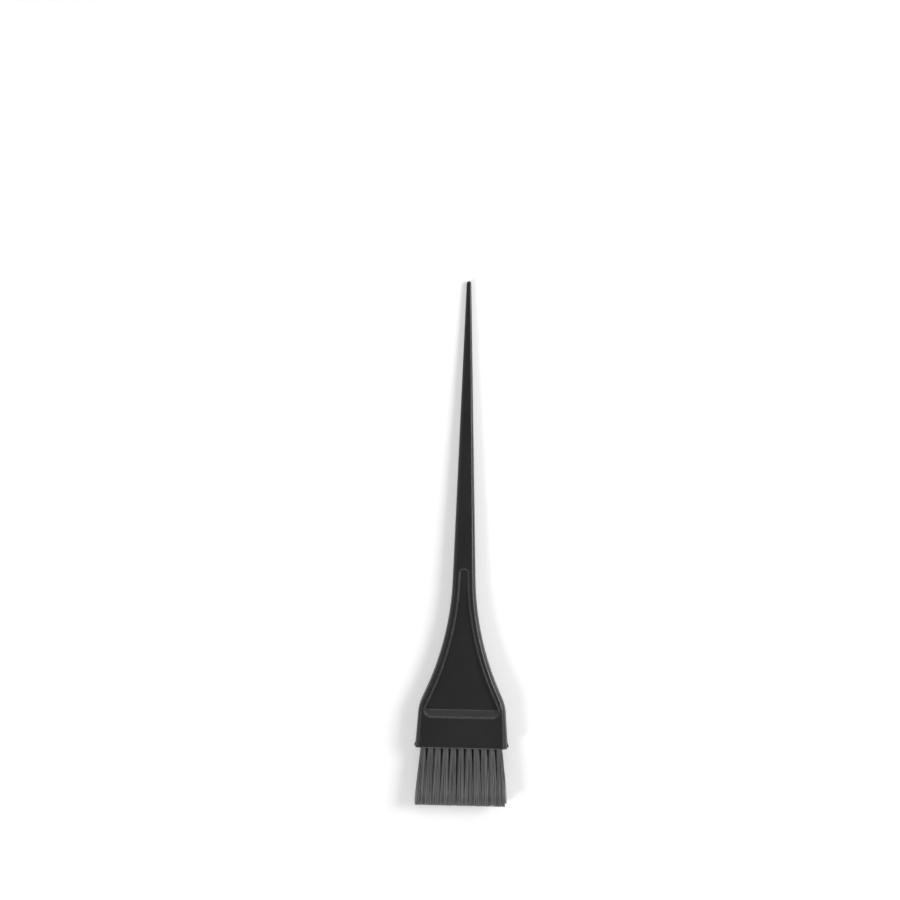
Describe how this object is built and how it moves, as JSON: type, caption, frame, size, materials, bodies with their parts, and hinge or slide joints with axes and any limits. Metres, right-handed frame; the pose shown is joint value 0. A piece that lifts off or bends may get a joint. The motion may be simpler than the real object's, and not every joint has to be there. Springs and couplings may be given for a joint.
{
  "type": "tint brush",
  "caption": "Flat hair tint brush with a flared moulded head, rows of straight nylon tufts cut square, and a long tapered parting tail.",
  "frame": {"origin": "centre of the brush's footprint, on the plane of its flat back face", "axes": "+Y along the brush towards the tip of the tail, +Z out of the front face, +X across the head"},
  "size_m": [0.0368, 0.2081, 0.0104],
  "materials": {
    "handle": "satin",
    "bristle": "satin",
    "anchor": "satin"
  },
  "bodies": {
    "root": {"back_row_anchors": "anchor", "back_tuft_01": "bristle", "back_tuft_02": "bristle", "back_tuft_03": "bristle", "back_tuft_04": "bristle", "back_tuft_05": "bristle", "back_tuft_06": "bristle", "back_tuft_07": "bristle", "back_tuft_08": "bristle", "back_tuft_09": "bristle", "back_tuft_10": "bristle", "back_tuft_11": "bristle", "front_row_anchors": "anchor", "front_tuft_01": "bristle", "front_tuft_02": "bristle", "front_tuft_03": "bristle", "front_tuft_04": "bristle", "front_tuft_05": "bristle", "front_tuft_06": "bristle", "front_tuft_07": "bristle", "front_tuft_08": "bristle", "front_tuft_09": "bristle", "front_tuft_10": "bristle", "front_tuft_11": "bristle", "handle": "handle", "middle_row_anchors": "anchor", "middle_tuft_01": "bristle", "middle_tuft_02": "bristle", "middle_tuft_03": "bristle", "middle_tuft_04": "bristle", "middle_tuft_05": "bristle", "middle_tuft_06": "bristle", "middle_tuft_07": "bristle", "middle_tuft_08": "bristle", "middle_tuft_09": "bristle", "middle_tuft_10": "bristle"}
  },
  "joints": []
}
